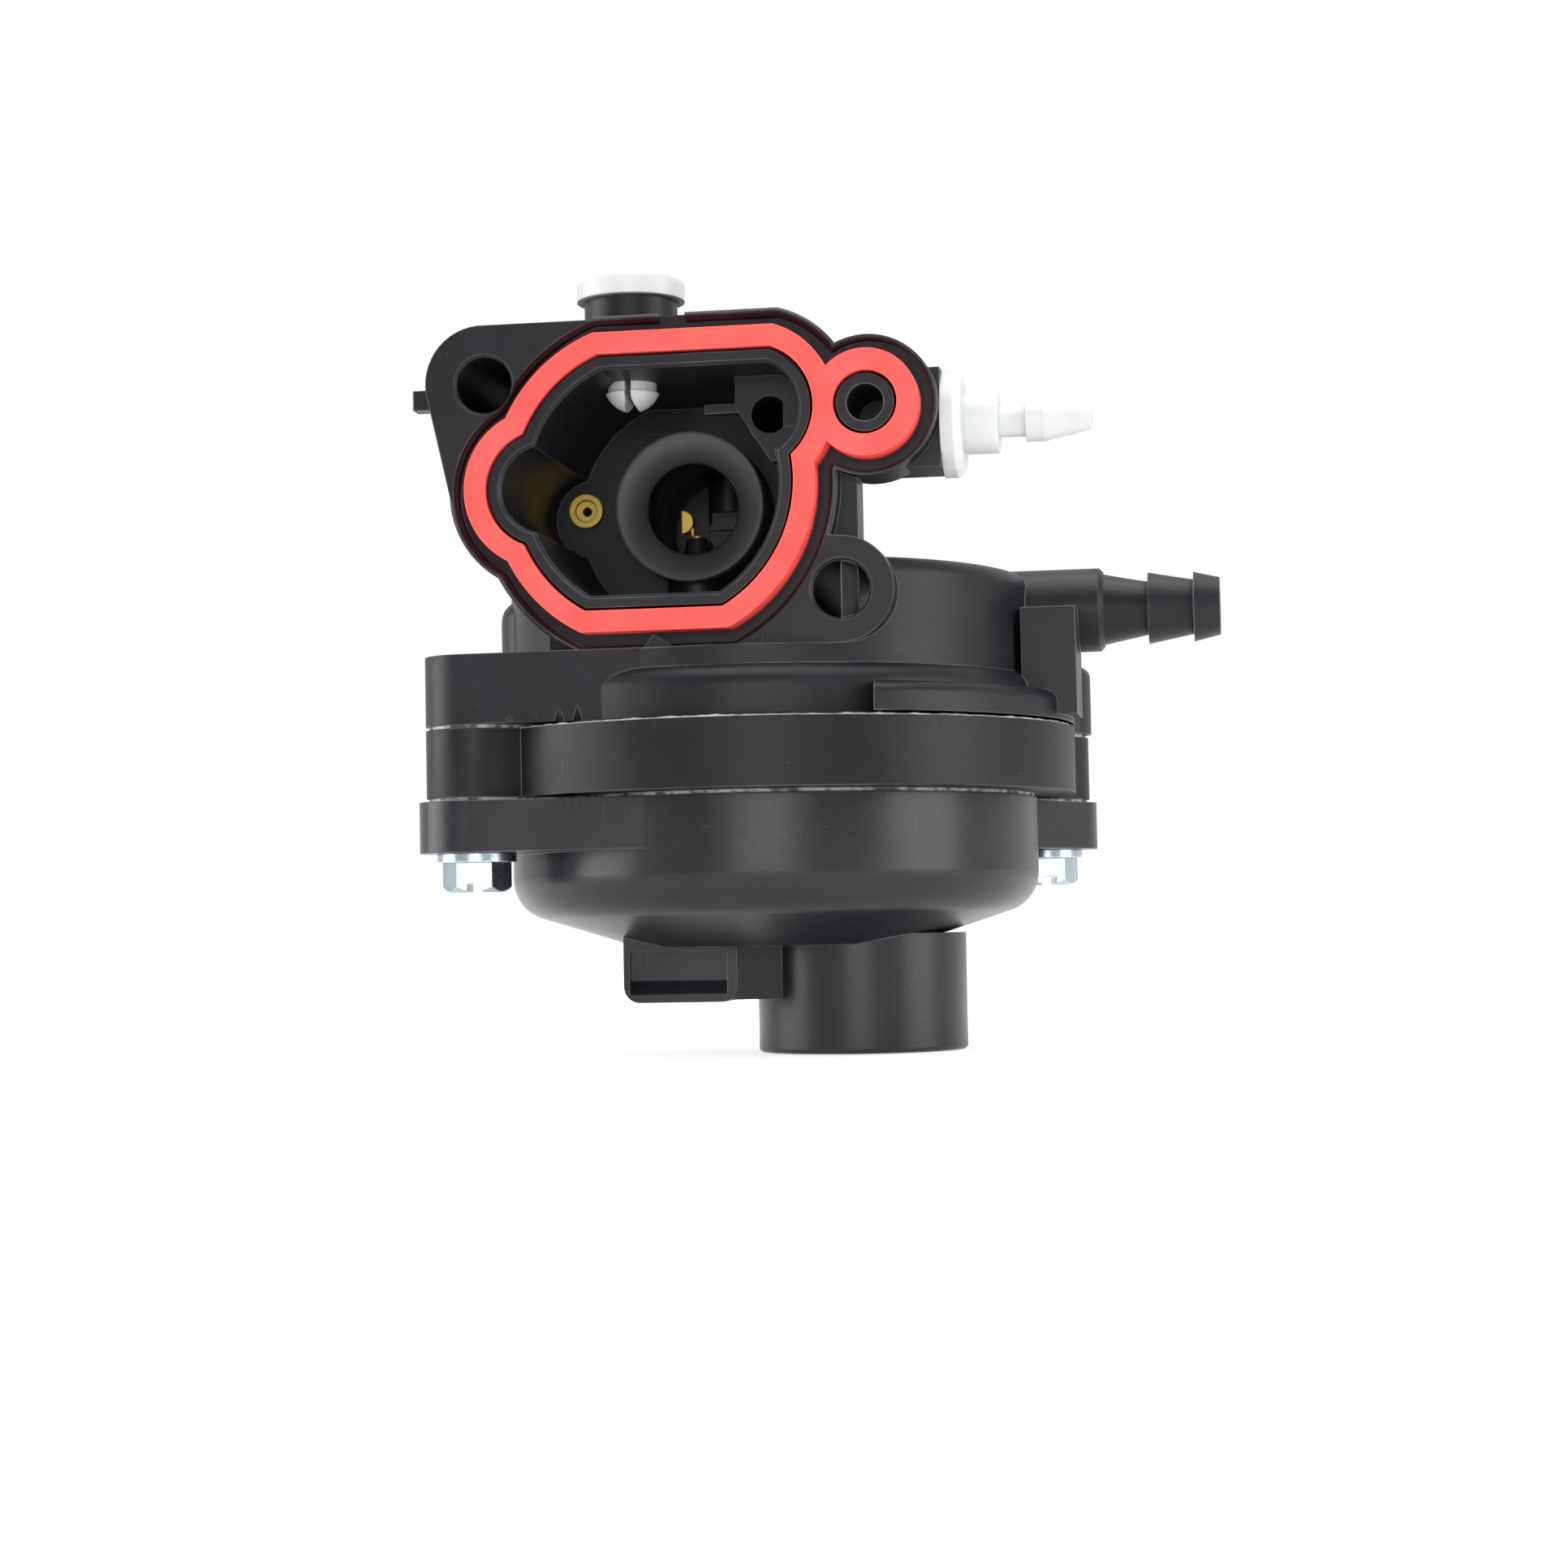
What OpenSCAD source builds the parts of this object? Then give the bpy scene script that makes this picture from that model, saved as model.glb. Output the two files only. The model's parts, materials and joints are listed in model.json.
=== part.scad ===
// Small-engine carburetor with a float bowl: moulded body, chamber ring, bowl,
// seals, jets, float with its needle, throttle and idle speed screw.
// X runs to the right, Y from the air cleaner to the engine, Z up.
// The origin is on the bore axis at the front face of the intake gasket.

/* [Intake seal] */
// Radius of the main seal arc
seal_r = 16.2; // [15.4:0.1:17]
// Height of the flat along the top of the seal
seal_high = 15.1; // [14.4:0.1:15.8]
// Depth of the flat along the bottom of the seal
seal_low = 14.3; // [13.6:0.1:15]
// Radius of the left lobe of the seal
lobe_r = 7.4; // [6.8:0.1:8]
// Radius of the upper right corner of the seal
corner_r = 7.9; // [7.4:0.1:8.2]
// Radius of the seal ring round the vent port
port_r = 4.5; // [4.2:0.1:5]
// Width of the gasket band
band_w = 2.26; // [1.8:0.02:2.6]
// Thickness of the gasket
band_t = 3.5; // [3:0.1:4]
// How far the gasket stands out of the mounting plate
band_proud = 1.8; // [1.2:0.1:2.2]
// Bore of the vent port
port_bore = 3.9; // [3:0.1:4.4]

/* [Mounting plate] */
// Distance of each stud hole from the bore axis across the plate
stud_x = 19; // [18:0.1:20]
// Distance of each stud hole from the bore axis up or down
stud_z = 11.6; // [11:0.1:12.2]
// Diameter of the stud holes
stud_d = 6; // [5.6:0.1:6.6]
// Thickness of the mounting plate
plate_t = 7; // [6:0.1:8]
// Outside diameter of the stud tubes
tube_d = 10.4; // [9.6:0.1:11]

/* [Air passage] */
// Depth of the air horn
horn_depth = 26; // [24:0.2:27]
// Distance of the venturi lip behind the gasket face
lip_y = 18; // [16:0.2:20]
// Diameter of the venturi mouth
mouth_d = 16.6; // [15:0.2:18]
// Diameter of the venturi throat
throat_d = 10; // [9:0.2:11]
// Diameter of the throttle bore
bore_d = 13; // [12:0.1:14]
// Outside diameter of the throttle barrel
barrel_d = 20; // [19:0.2:21]
// Distance from the gasket face to the engine face
body_len = 62; // [60:0.5:64]
// Length of the engine spigot
spigot_len = 6; // [5:0.1:7]
// Outside diameter of the engine spigot
spigot_d = 18.6; // [18.2:0.1:19]
// Cross-section of the engine O-ring
cord_d = 1.85; // [1.7:0.01:2]

/* [Plug of the choke shaft hole] */
// Diameter of the plug cap
cap_d = 11.7; // [11:0.1:12.2]
// Thickness of the plug cap
cap_t = 2.5; // [2:0.1:3]
// Height of the plug boss above the bore axis
boss_z = 21.3; // [20.4:0.1:22]
// Diameter of the plug boss
boss_d = 10.1; // [9.4:0.1:10.6]

/* [Float chamber] */
// Distance of the chamber centre right of the bore axis
drum_x = 7.25; // [6.5:0.05:8]
// Distance of the chamber centre behind the gasket face
drum_y = 29; // [28:0.1:30]
// Radius of the upper chamber
drum_r = 29.5; // [29:0.1:30]
// Distance of the chamber top below the bore axis
drum_top = 7.9; // [7.6:0.1:8.6]
// Distance of the body's lower rim below the bore axis
rim_z = 24.6; // [24:0.1:25.2]
// Radius of the chamber ring
ring_r = 34; // [33:0.1:35]
// Height of the chamber ring
ring_h = 7.3; // [6.8:0.1:8]
// Thickness of each chamber gasket
sheet_t = 0.4; // [0.3:0.05:0.6]
// Radius of the bowl
bowl_r = 29.65; // [29:0.05:30.2]
// Height of the bowl
bowl_h = 16; // [15.5:0.1:17]
// Radius of the rounding between the bowl wall and its floor
bowl_round = 4.6; // [4:0.1:5.4]
// Radius of the flat middle of the bowl floor
floor_r = 15.8; // [15:0.1:17]
// Rise of the bowl floor outside its flat middle, in degrees
floor_tilt = 17.7; // [15:0.1:20]
// Radius of the sump under the bowl
sump_r = 11.75; // [10.8:0.05:12.2]
// Height of the sump under the bowl
sump_h = 12; // [10:0.1:12.8]
// Height of the jet box under the bowl
box_h = 6.1; // [5.4:0.1:7]
// Distance of each bowl screw from the chamber centre to the side
screw_x = 29.05; // [28.6:0.05:29.5]
// Distance of each bowl screw from the chamber centre to front or back
screw_y = 22; // [21.6:0.1:22.6]
// Shank diameter of the bowl screws
screw_d = 4.4; // [4:0.1:5]

/* [Fuel and vent pipes] */
// Distance of the fuel pipe below the bore axis
pipe_z = 12; // [11.5:0.1:12.4]
// Bore of the fuel pipe
pipe_bore = 4; // [3:0.1:4.2]
// Length of the fuel pipe past its collar
pipe_len = 13.3; // [11:0.1:15]
// Diameter of the vent nipple flange
vent_d = 11.4; // [10.6:0.1:12]
// Length of the vent nipple outside its box
vent_len = 15.6; // [14:0.1:17]

/* [Mechanism] */
// Diameter of the throttle shaft
shaft_d = 5; // [4.6:0.1:5.4]
// Distance of the throttle shaft behind the gasket face
shaft_y = 44; // [43:0.2:45]
// Thickness of the throttle plate
disc_t = 1.2; // [1:0.1:1.4]
// Length of the governor arm on the throttle lever
arm_len = 20; // [17:0.5:23]
// Drop of the float when the bowl is dry, in degrees
float_drop = 7; // [4:0.5:7]
// Outside radius of the float
float_r = 22.5; // [21.5:0.1:23]
// Height of the float
float_h = 11; // [9:0.2:11.5]
// Radial play of the running fits
play = 0.05; // [0.02:0.01:0.08]

/* [Hidden] */
$fn = 96;
band = band_w / 2;
plate_y = band_proud;
plate_back = plate_y + plate_t;
floor_y = band_t;
seal_x = -0.6;
lobe_x = -12.3;
corner = [9.9, 7.6];
port = [22.1, 7.6];
cavity_k = -2.78;
rim_k = -1.45;
moat_k = 2.4;
edge_k = 3.25;
port_edge = 2.9;
vent_x = 22.1 + port_r + port_edge;
horn_k = -0.6;
rim_y = 0.5;
stud_r = stud_d / 2;
tube_r = tube_d / 2;
throat_r = throat_d / 2;
bore_r = bore_d / 2;
barrel_r = barrel_d / 2;
mouth_r = mouth_d / 2;
horn_back = horn_depth + 2.5;
flange_y = body_len - 6;
shaft_r = shaft_d / 2;
boss_top = 15.5;
lever_z = 17;
ring_top = -rim_z - sheet_t;
ring_low = ring_top - ring_h;
bowl_top = ring_low - sheet_t;
bowl_low = bowl_top - bowl_h;
screws = [[drum_x - screw_x, drum_y - screw_y], [drum_x + screw_x, drum_y + screw_y]];
lug_low = bowl_top - 5.5;
cup_r = bowl_r - 2.05;
well = [-0.16, 23.5];
pilot = [8, 36];
pivot = [drum_x + 23.75, -rim_z + 0.6];
needle_x = pivot[0] - 6;
seat_low = -22.6;
seat_face = -19;
lift = (pivot[0] - needle_x) * sin(float_drop);
float_top = -rim_z - 1.9;
tab_top = float_top + 1.5;
float_bore = 15.4;
needle_low = tab_top - lift + 0.06;
plug_c = [-4.5, 10];
idle_c = [11, 17.4];
cap_r = cap_d / 2;
boss_r = boss_d / 2;
plug_hole = 2.7;
washer_r = 4.25;
washer_t = 1;
nipple_c = [9, 6.3];
pipe_x = 44.5;
air_jet = [-13.2, 0.9];

function turn(a) = [cos(a), sin(a)];

module along_y(y0, y1) {
    translate([0, y1, 0]) rotate([90, 0, 0]) linear_extrude(y1 - y0) children();
}

module along_z(z0, z1) {
    translate([0, 0, z0]) linear_extrude(z1 - z0) children();
}

module cone_y(c, r0, r1, y0, y1) {
    translate([c[0], y1, c[1]]) rotate([90, 0, 0]) cylinder(r1 = r1, r2 = r0, h = y1 - y0);
}

module rod_y(c, r, y0, y1) {
    translate([c[0], y1, c[1]]) rotate([90, 0, 0]) cylinder(r = r, h = y1 - y0);
}

module cone_x(c, r0, r1, x0, x1) {
    translate([x0, c[0], c[1]]) rotate([0, 90, 0]) cylinder(r1 = r0, r2 = r1, h = x1 - x0);
}

module rod_x(c, r, x0, x1) {
    translate([x0, c[0], c[1]]) rotate([0, 90, 0]) cylinder(r = r, h = x1 - x0);
}

module rod_z(c, r, z0, z1) {
    translate([c[0], c[1], z0]) cylinder(r = r, h = z1 - z0);
}

module cone_z(c, r0, r1, z0, z1) {
    translate([c[0], c[1], z0]) cylinder(r1 = r0, r2 = r1, h = z1 - z0);
}

module block(a, b) {
    translate(a) cube(b - a);
}

// Two circles and the strip between their outer tangents.
module link(a, ra, b, rb) {
    v = b - a;
    t = atan2(v[1], v[0]);
    u = acos((ra - rb) / norm(v));
    translate(a) circle(ra);
    translate(b) circle(rb);
    sa = ra * 0.998;
    sb = rb * 0.998;
    polygon([a + sa * turn(t - u), b + sb * turn(t - u), b + sb * turn(t + u), a + sa * turn(t + u)]);
}

// A round block standing on z0 with its upper edge rounded.
module soft_disc(c, r, z0, z1, f) {
    translate([c[0], c[1], z0]) rotate_extrude() {
        square([r - f, z1 - z0]);
        square([r, z1 - z0 - f]);
        translate([r - f, z1 - z0 - f]) circle(f);
    }
}

// A profile in the Y-Z plane carried from x0 to x1.
module across(x0, x1) {
    rotate([90, 0, 90]) translate([0, 0, x0]) linear_extrude(x1 - x0) children();
}

// The main seal outline grown by k0 at y0 and by k1 at y1.
module seal_form(k0, k1, y0, y1) {
    top = corner[1] + corner_r;
    intersection() {
        union() {
            cone_y([seal_x, 0], seal_r + k0, seal_r + k1, y0, y1);
            cone_y([lobe_x, 0], lobe_r + k0, lobe_r + k1, y0, y1);
            cone_y(corner, corner_r + k0, corner_r + k1, y0, y1);
            across(seal_x, corner[0])
                polygon([[y0, 0], [y1, 0], [y1, top + k1], [y0, top + k0]]);
        }
        across(-60, 60)
            polygon([[y0, -seal_low - k0], [y1, -seal_low - k1],
                [y1, seal_high + k1], [y0, seal_high + k0]]);
    }
}

module port_form(k0, k1, y0, y1) {
    cone_y(port, port_r + k0, port_r + k1, y0, y1);
}

module plate_outline() {
    link([-stud_x - 0.2, stud_z + 0.2], 6.2, [lobe_x, 0], 10.4);
    link([-stud_x - 0.2, stud_z + 0.2], 6.2, [-4, 4], 14);
    polygon([[-6, -17.2], [stud_x, -17.2], [stud_x, -6], [14, -5.5], [0, 0]]);
    translate([stud_x, -stud_z]) circle(5.6);
}

// Mounting plate with the seal groove, the raised inner rim and the port tube.
module face_plate() {
    difference() {
        union() {
            seal_form(edge_k - 0.3, edge_k, plate_y, plate_y + 0.3);
            seal_form(edge_k, edge_k, plate_y + 0.3, plate_back);
            port_form(port_edge, port_edge, plate_y, plate_back);
            along_y(plate_y, plate_back) plate_outline();
        }
        seal_form(moat_k, moat_k, -1, floor_y);
        port_form(moat_k, moat_k, -1, floor_y);
        seal_form(moat_k + 0.5, moat_k, plate_y - 0.1, plate_y + 0.4);
        port_form(moat_k + 0.35, moat_k, plate_y - 0.1, plate_y + 0.25);
        block([0, plate_y - 1, 16], [2.9, floor_y, 20]);
    }
    seal_form(rim_k, rim_k, rim_y, floor_y + 1);
    port_form(rim_k, rim_k, rim_y, floor_y + 1);
    along_y(plate_y, floor_y + 1)
        polygon([[-2.3, -17.4], [1.6, -17.4], [-1, -15.7]]);
}

module air_horn() {
    seal_form(horn_k, horn_k, plate_back - 1, horn_back);
    rod_y([-0.3, 0], barrel_r, horn_depth, body_len);
    rod_y(air_jet, 3.4, horn_depth, horn_back + 6);
    along_y(horn_depth + 1, flange_y + 1)
        link([-stud_x, stud_z], 2.2, [stud_x, -stud_z], 2.2);
    along_y(plate_back - 1, horn_back) {
        link([-stud_x, stud_z], 4, [-6, 4], 4);
        link([stud_x, -stud_z], 4, [6, -4], 4);
    }
    for (s = [-1, 1])
        rod_y([s * stud_x, -s * stud_z], tube_r, plate_back - 1, body_len);
    along_y(flange_y, body_len) {
        link([-stud_x, stud_z], 6.4, [stud_x, -stud_z], 6.41);
        circle(11.5);
    }
}

// Flared mouth of the venturi standing in the air horn.
module venturi() {
    f = mouth_r - throat_r;
    translate([0, horn_depth + 0.5, 0]) rotate([90, 0, 0]) rotate_extrude() difference() {
        translate([throat_r, 0]) square([f, horn_depth + 0.5 - lip_y]);
        translate([throat_r, horn_depth + 0.5 - lip_y - f]) difference() {
            square([f, f + 1]);
            translate([f, 0]) circle(f);
        }
    }
    rod_z(well, 3.4, -15, -throat_r - 1.2);
}

module bores() {
    seal_form(cavity_k, cavity_k, -1, horn_depth);
    seal_form(cavity_k + 0.45, cavity_k, rim_y - 0.1, rim_y + 0.35);
    for (s = [-1, 1]) {
        rod_y([s * stud_x, -s * stud_z], stud_r, 0, body_len + 1);
        cone_y([s * stud_x, -s * stud_z], stud_r + 0.4, stud_r, plate_y - 0.1, plate_y + 0.3);
    }
    rod_y(port, port_bore / 2, 0, 9 + port_bore / 2);
    rod_y([air_jet[0], air_jet[1]], 0.9, horn_depth - 1, horn_back + 4);
}

module drum() {
    c = [drum_x, drum_y];
    difference() {
        soft_disc(c, drum_r, -rim_z, -drum_top, 1.8);
        block([-40, -20, -17.2], [stud_x, plate_back - 0.5, 0]);
    }
    soft_disc(c, drum_r + 1.5, -rim_z, -19.1, 2.4);
    intersection() {
        soft_disc(c, ring_r, -rim_z, -21.4, 1.4);
        block([22.6, -20, -40], [80, 80, 0]);
    }
    along_z(-rim_z, -17.1) link(screws[0], 5.3, [-2, 12], 10.9);
    along_z(-rim_z, -21.4) link(screws[1], 5.4, c, 26);
    soft_disc(screws[1], 5.7, -rim_z, -16.5, 1.4);
    along_z(-rim_z, -18.2) link(screws[1], 2.2, c, 2.21);
    soft_disc([-17.4, 22], 5, -rim_z, -9.5, 2.4);
    along_z(-rim_z, -14) link([-17.4, 22], 5, [drum_x, drum_y], 10);
    block([36.2, 20, -rim_z + 0.6], [42.2, 30, -12.3]);
}

module drum_room() {
    c = [drum_x, drum_y];
    rod_z(c, cup_r - 0.6, -rim_z - 1, -drum_top - 2.5);
    seal_form(cavity_k, cavity_k, -1, horn_depth);
}

module chamber_posts() {
    rod_z(well, 3.6, -45.2, -11);
    rod_z(pilot, 2.4, -34, -drum_top - 1);
    rod_z([needle_x, drum_y], 3.7, seat_low, -pipe_z);
    rod_x([drum_y, -pipe_z], 4.66, needle_x - 3.5, pipe_x);
    for (s = [-1, 1])
        block([pivot[0] - 2.2, drum_y + s * 8 - 1.25, pivot[1] - 2.2],
            [pivot[0] + 2.2, drum_y + s * 8 + 1.25, -drum_top - 1]);
    rod_z([0, shaft_y], 4.6, -14, 0);
}

// Hose pipe with two barbs.
module fuel_pipe() {
    c = [drum_y, -pipe_z];
    k = pipe_len / 13.3;
    cone_x(c, 4.15, 2.97, pipe_x - 0.5, pipe_x + 5.4 * k);
    cone_x(c, 4, 3.05, pipe_x + 5.4 * k, pipe_x + 10.4 * k);
    cone_x(c, 3.9, 3.2, pipe_x + 10.4 * k, pipe_x + pipe_len);
    cone_x(c, 4.66, 4.2, pipe_x, pipe_x + 0.45);
}

module fuel_ways() {
    c = [drum_y, -pipe_z];
    rod_x(c, pipe_bore / 2, needle_x - 1.2, pipe_x + pipe_len + 1);
    cone_x(c, pipe_bore / 2, pipe_bore / 2 + 0.7, pipe_x + pipe_len - 0.6, pipe_x + pipe_len + 0.1);
    rod_z([needle_x, drum_y], 1.1, seat_low, -pipe_z);
    rod_z([needle_x, drum_y], 2.6, seat_low - 1, seat_face + 1.6);
    rod_z(well, 1.7, -42, -8.2);
    rod_z(well, 2.4, -46, -41.9);
    rod_z(well, 0.9, -9, -2);
    rod_z(pilot, 1.3, -35, -14);
    rod_y([pivot[0], pivot[1]], 1, drum_y - 12, drum_y + 12);
}

module vent_box() {
    block([19, floor_y + 1, 1.2], [vent_x, 12, 11.7]);
    block([15, floor_y + 1, -9], [20.6, 9, 2.5]);
}

module vent_ways() {
    rod_x(nipple_c, 3.4, vent_x - 5.6, vent_x + 1);
    rod_x(nipple_c, 1.6, 19.5 + port_bore / 2, vent_x);
}

// Bracket of the inner bowl vent, with a hole that has one flat side.
module vent_bracket() {
    difference() {
        along_y(8, 10.5)
            polygon([[7.1, 9], [10.9, 3.05], [12.6, 3.05], [16, 4], [16, 12.8], [7.1, 12.8]]);
        difference() {
            rod_y([10.85, 8.05], 1.98, 7, 12);
            block([12.3, 6.5, 5], [14, 13, 11]);
        }
    }
    block([3.6, 9, 8.6], [7.6, 10.5, 9.6]);
    along_y(10.4, 24) difference() {
        translate([10.85, 8.05]) circle(2.9);
        translate([10.85, 8.05]) circle(1.98);
    }
}

module plug_boss() {
    rod_z(plug_c, boss_r, 10, boss_z);
}

module throttle_bosses() {
    rod_z([0, shaft_y], 5, 0, boss_top);
    rod_z([-5, shaft_y + 7.5], 1.2, 7, 13.6);
    block([idle_c[0] - 1.5, 22.5, 12], [idle_c[0] + 1.5, horn_back, idle_c[1]]);
    rod_y(idle_c, 2.9, 22.5, horn_back);
}

module throttle_ways() {
    rod_z([0, shaft_y], shaft_r + play, -12.05, boss_top + 1);
    rod_y(idle_c, 1.5 + play, 20, 40);
}

// Hook for the outer end of a linkage spring, on the upper stud tube.
module hook() {
    block([-29.4, 11, 10.8], [-stud_x, 13.2, 13]);
}

module spigot() {
    rod_y([0, 0], spigot_d / 2, body_len - 1, body_len + spigot_len - 0.6);
    cone_y([0, 0], spigot_d / 2, spigot_d / 2 - 0.6, body_len + spigot_len - 0.6, body_len + spigot_len);
}

module throat() {
    cone_y([0, 0], throat_r, bore_r, horn_depth - 2, horn_depth + 10);
    rod_y([0, 0], throat_r, lip_y, horn_depth + 1);
    rod_y([0, 0], bore_r, horn_depth + 9.9, body_len + spigot_len + 1);
    difference() {
        rod_y([0, 0], spigot_d / 2 + 1, body_len + 2, body_len + 4.2);
        rod_y([0, 0], spigot_d / 2 - 1.7, body_len, body_len + 5);
    }
}

// Small cone that carries the main nozzle in the floor of the throat.
module nozzle_boss() {
    difference() {
        cone_z(well, 1.7, 1.15, -throat_r - 0.3, -2.95);
        rod_z(well, 0.9, -throat_r - 1, -2);
    }
}

module carburetor_body() {
    color("#26282a") {
        body_shell();
        nozzle_boss();
    }
}

module body_shell() {
    difference() {
        union() {
            difference() {
                drum();
                drum_room();
            }
            difference() {
                union() {
                    face_plate();
                    air_horn();
                    vent_box();
                    plug_boss();
                }
                bores();
            }
            venturi();
            vent_bracket();
            chamber_posts();
            fuel_pipe();
            throttle_bosses();
            hook();
            spigot();
        }
        throat();
        vent_ways();
        fuel_ways();
        throttle_ways();
        rod_z(plug_c, plug_hole, 8, boss_z + 1);
        rod_y(air_jet, 1.95, horn_depth - 0.5, horn_depth + 3);
        rod_x([shaft_y - 8, 0], 2, -12, -8.6);
        for (p = screws)
            rod_z(p, screw_d / 2 + play, -rim_z - 1, -19);
        for (x = [-20.3, -16.6, -13.9, -11.2, -9.2])
            cone_z([x, 1.25], 0.55, 0.1, -rim_z - 0.1, -rim_z + 1.6);
        for (s = [-1, 1])
            rod_y([s * stud_x, -s * stud_z], stud_r, plate_y + 1, body_len + 1);
    }
}

module ring_block(z0, z1, r1, r2, r3) {
    c = [drum_x, drum_y];
    difference() {
        union() {
            rod_z(c, r1, z0, z1);
            for (p = screws)
                along_z(z0, z1) link(p, r2, p + 0.45 * (c - p), r3);
        }
        rod_z(c, cup_r, z0 - 1, z1 + 1);
        for (p = screws)
            rod_z(p, screw_d / 2 + 0.1, z0 - 1, z1 + 1);
    }
}

module float_chamber_ring() {
    color("#232527") ring_block(ring_low, ring_top, ring_r, 5.3, 7);
}

module chamber_gasket() {
    color("#b9b3a4") ring_block(ring_top, -rim_z, drum_r - 0.2, 5, 6);
}

module bowl_gasket() {
    color("#b9b3a4") ring_block(bowl_top, ring_low, bowl_r - 0.3, 5, 6);
}

// Half section of a straight-walled pot with a rounded foot.
module pot_profile(r, h, f) {
    translate([0, -h]) square([r - f, h]);
    translate([0, -h + f]) square([r, h - f]);
    translate([r - f, -h + f]) circle(f);
}

// Half section of the bowl: straight wall, rounding f, sloping floor, flat middle k.
module bowl_profile(r, h, f, k) {
    y = -h + (r - f - k) * tan(floor_tilt) + f / cos(floor_tilt);
    e = f * 0.998;
    translate([0, y]) square([r, -y]);
    translate([r - f, y]) circle(f);
    polygon([[0, -h], [k, -h], [r - f + e * sin(floor_tilt), y - e * cos(floor_tilt)],
        [r - f, y], [0, y]]);
}

// Box of the jet under the bowl, with rounded lower corners and a recessed front.
module jet_box() {
    x0 = -8.05;
    x1 = 4.7;
    y0 = 17;
    y1 = 31;
    z = bowl_low - box_h;
    difference() {
        union() {
            along_y(y0, y1) {
                translate([x0, z + 1.8]) square([x1 - x0, box_h + 0.2]);
                translate([x0 + 1.8, z]) square([x1 - x0 - 3.6, 3]);
                for (x = [x0 + 1.8, x1 - 1.8])
                    translate([x, z + 1.8]) circle(1.8);
            }
            along_z(z + 0.2, bowl_low + 1) link([3.4, 21.4], 3.6, [12, 26], 4);
        }
        across(x0 + 0.7, x1 - 1.2)
            polygon([[y0 - 1, z + 0.9], [y0, z + 0.9], [y0 + 0.9, z + 2.4],
                [y0 + 0.9, z + 5.6], [y0 - 1, z + 5.6]]);
    }
}

module float_bowl() {
    sump = [drum_x + 9.6, drum_y];
    wall = bowl_r - cup_r;
    color("#292b2d") difference() {
        union() {
            translate([drum_x, drum_y, bowl_top]) rotate_extrude()
                bowl_profile(bowl_r, bowl_h, bowl_round, floor_r);
            along_z(lug_low, bowl_top) {
                link(screws[0], 6.1, [-1, 12.8], 12);
                link(screws[1], 6.1, [drum_x, drum_y], 20);
            }
            translate([sump[0], sump[1], bowl_low + 1]) rotate_extrude()
                pot_profile(sump_r, sump_h + 1, 0.5);
            jet_box();
        }
        translate([drum_x, drum_y, bowl_top]) rotate_extrude() {
            bowl_profile(cup_r, bowl_h - wall, bowl_round - 1.5, floor_r - 0.4);
            square([cup_r, 1]);
        }
        translate([sump[0], sump[1], bowl_low + 1]) rotate_extrude()
            pot_profile(sump_r - 1.9, sump_h - 0.9, 1);
        translate([sump[0], sump[1], bowl_low]) cylinder(r = sump_r - 1.9, h = 5);
        block([-6.4, 19.4, bowl_low - box_h + 1.8], [3, 29.2, bowl_low + 3.5]);
        for (p = screws)
            rod_z(p, screw_d / 2 + 0.1, lug_low - 1, bowl_top + 1);
    }
}

module intake_gasket() {
    color("#b22a24") difference() {
        union() {
            seal_form(band, band, 0, band_t);
            port_form(band, band, 0, band_t);
        }
        seal_form(-band, -band, -1, band_t + 1);
        port_form(-band, -band, -1, band_t + 1);
    }
}

module engine_o_ring() {
    color("#b5302a") translate([0, body_len + 3.1, 0]) rotate([90, 0, 0])
        rotate_extrude() translate([spigot_d / 2 - 1.66 + cord_d / 2, 0]) circle(cord_d / 2);
}

// Snap-in plug: round cap outside, split rounded prongs inside the air horn.
module choke_hole_plug() {
    c = plug_c;
    color("#e9e6dc") {
        soft_disc(c, cap_r, boss_z, boss_z + cap_t, 0.8);
        difference() {
            union() {
                rod_z(c, plug_hole - play, 11, boss_z + 0.2);
                intersection() {
                    translate([c[0], c[1], 12.4]) sphere(3.1);
                    rod_z(c, 3.2, 9, 11.3);
                }
            }
            block([c[0] - 0.35, c[1] - 5, 5], [c[0] + 0.35, c[1] + 5, 18]);
            along_y(c[1] - 5, c[1] + 5) translate([c[0], 0])
                polygon([[-0.9, 9], [0.9, 9], [0.3, 10.6], [-0.3, 10.6]]);
        }
    }
}

module vent_nipple() {
    k = vent_len / 15.6;
    x = vent_x;
    r = vent_d / 2;
    color("#e9e6dc") difference() {
        union() {
            rod_x(nipple_c, 3.4 - play, x - 5, x + 0.5);
            rod_x(nipple_c, r, x, x + 1.4 * k);
            cone_x(nipple_c, r, r - 0.6, x + 1.4 * k, x + 2.1 * k);
            rod_x(nipple_c, 3.3, x + 2 * k, x + 5.8 * k);
            rod_x(nipple_c, 1.65, x + 5.5 * k, x + 9 * k);
            rod_x(nipple_c, 2.25, x + 8.7 * k, x + 10.6 * k);
            cone_x(nipple_c, 2.25, 1.2, x + 10.6 * k, x + vent_len);
        }
        rod_x(nipple_c, 0.7, x - 6, x + 1 + vent_len);
    }
}

module pilot_air_jet() {
    color("#c8963c") difference() {
        union() {
            rod_y(air_jet, 1.95, horn_depth - 1.4, horn_depth + 3);
        }
        rod_y(air_jet, 1.25, horn_depth - 2, horn_depth - 0.6);
        rod_y(air_jet, 0.5, horn_depth - 2, horn_depth + 4);
    }
}

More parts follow.
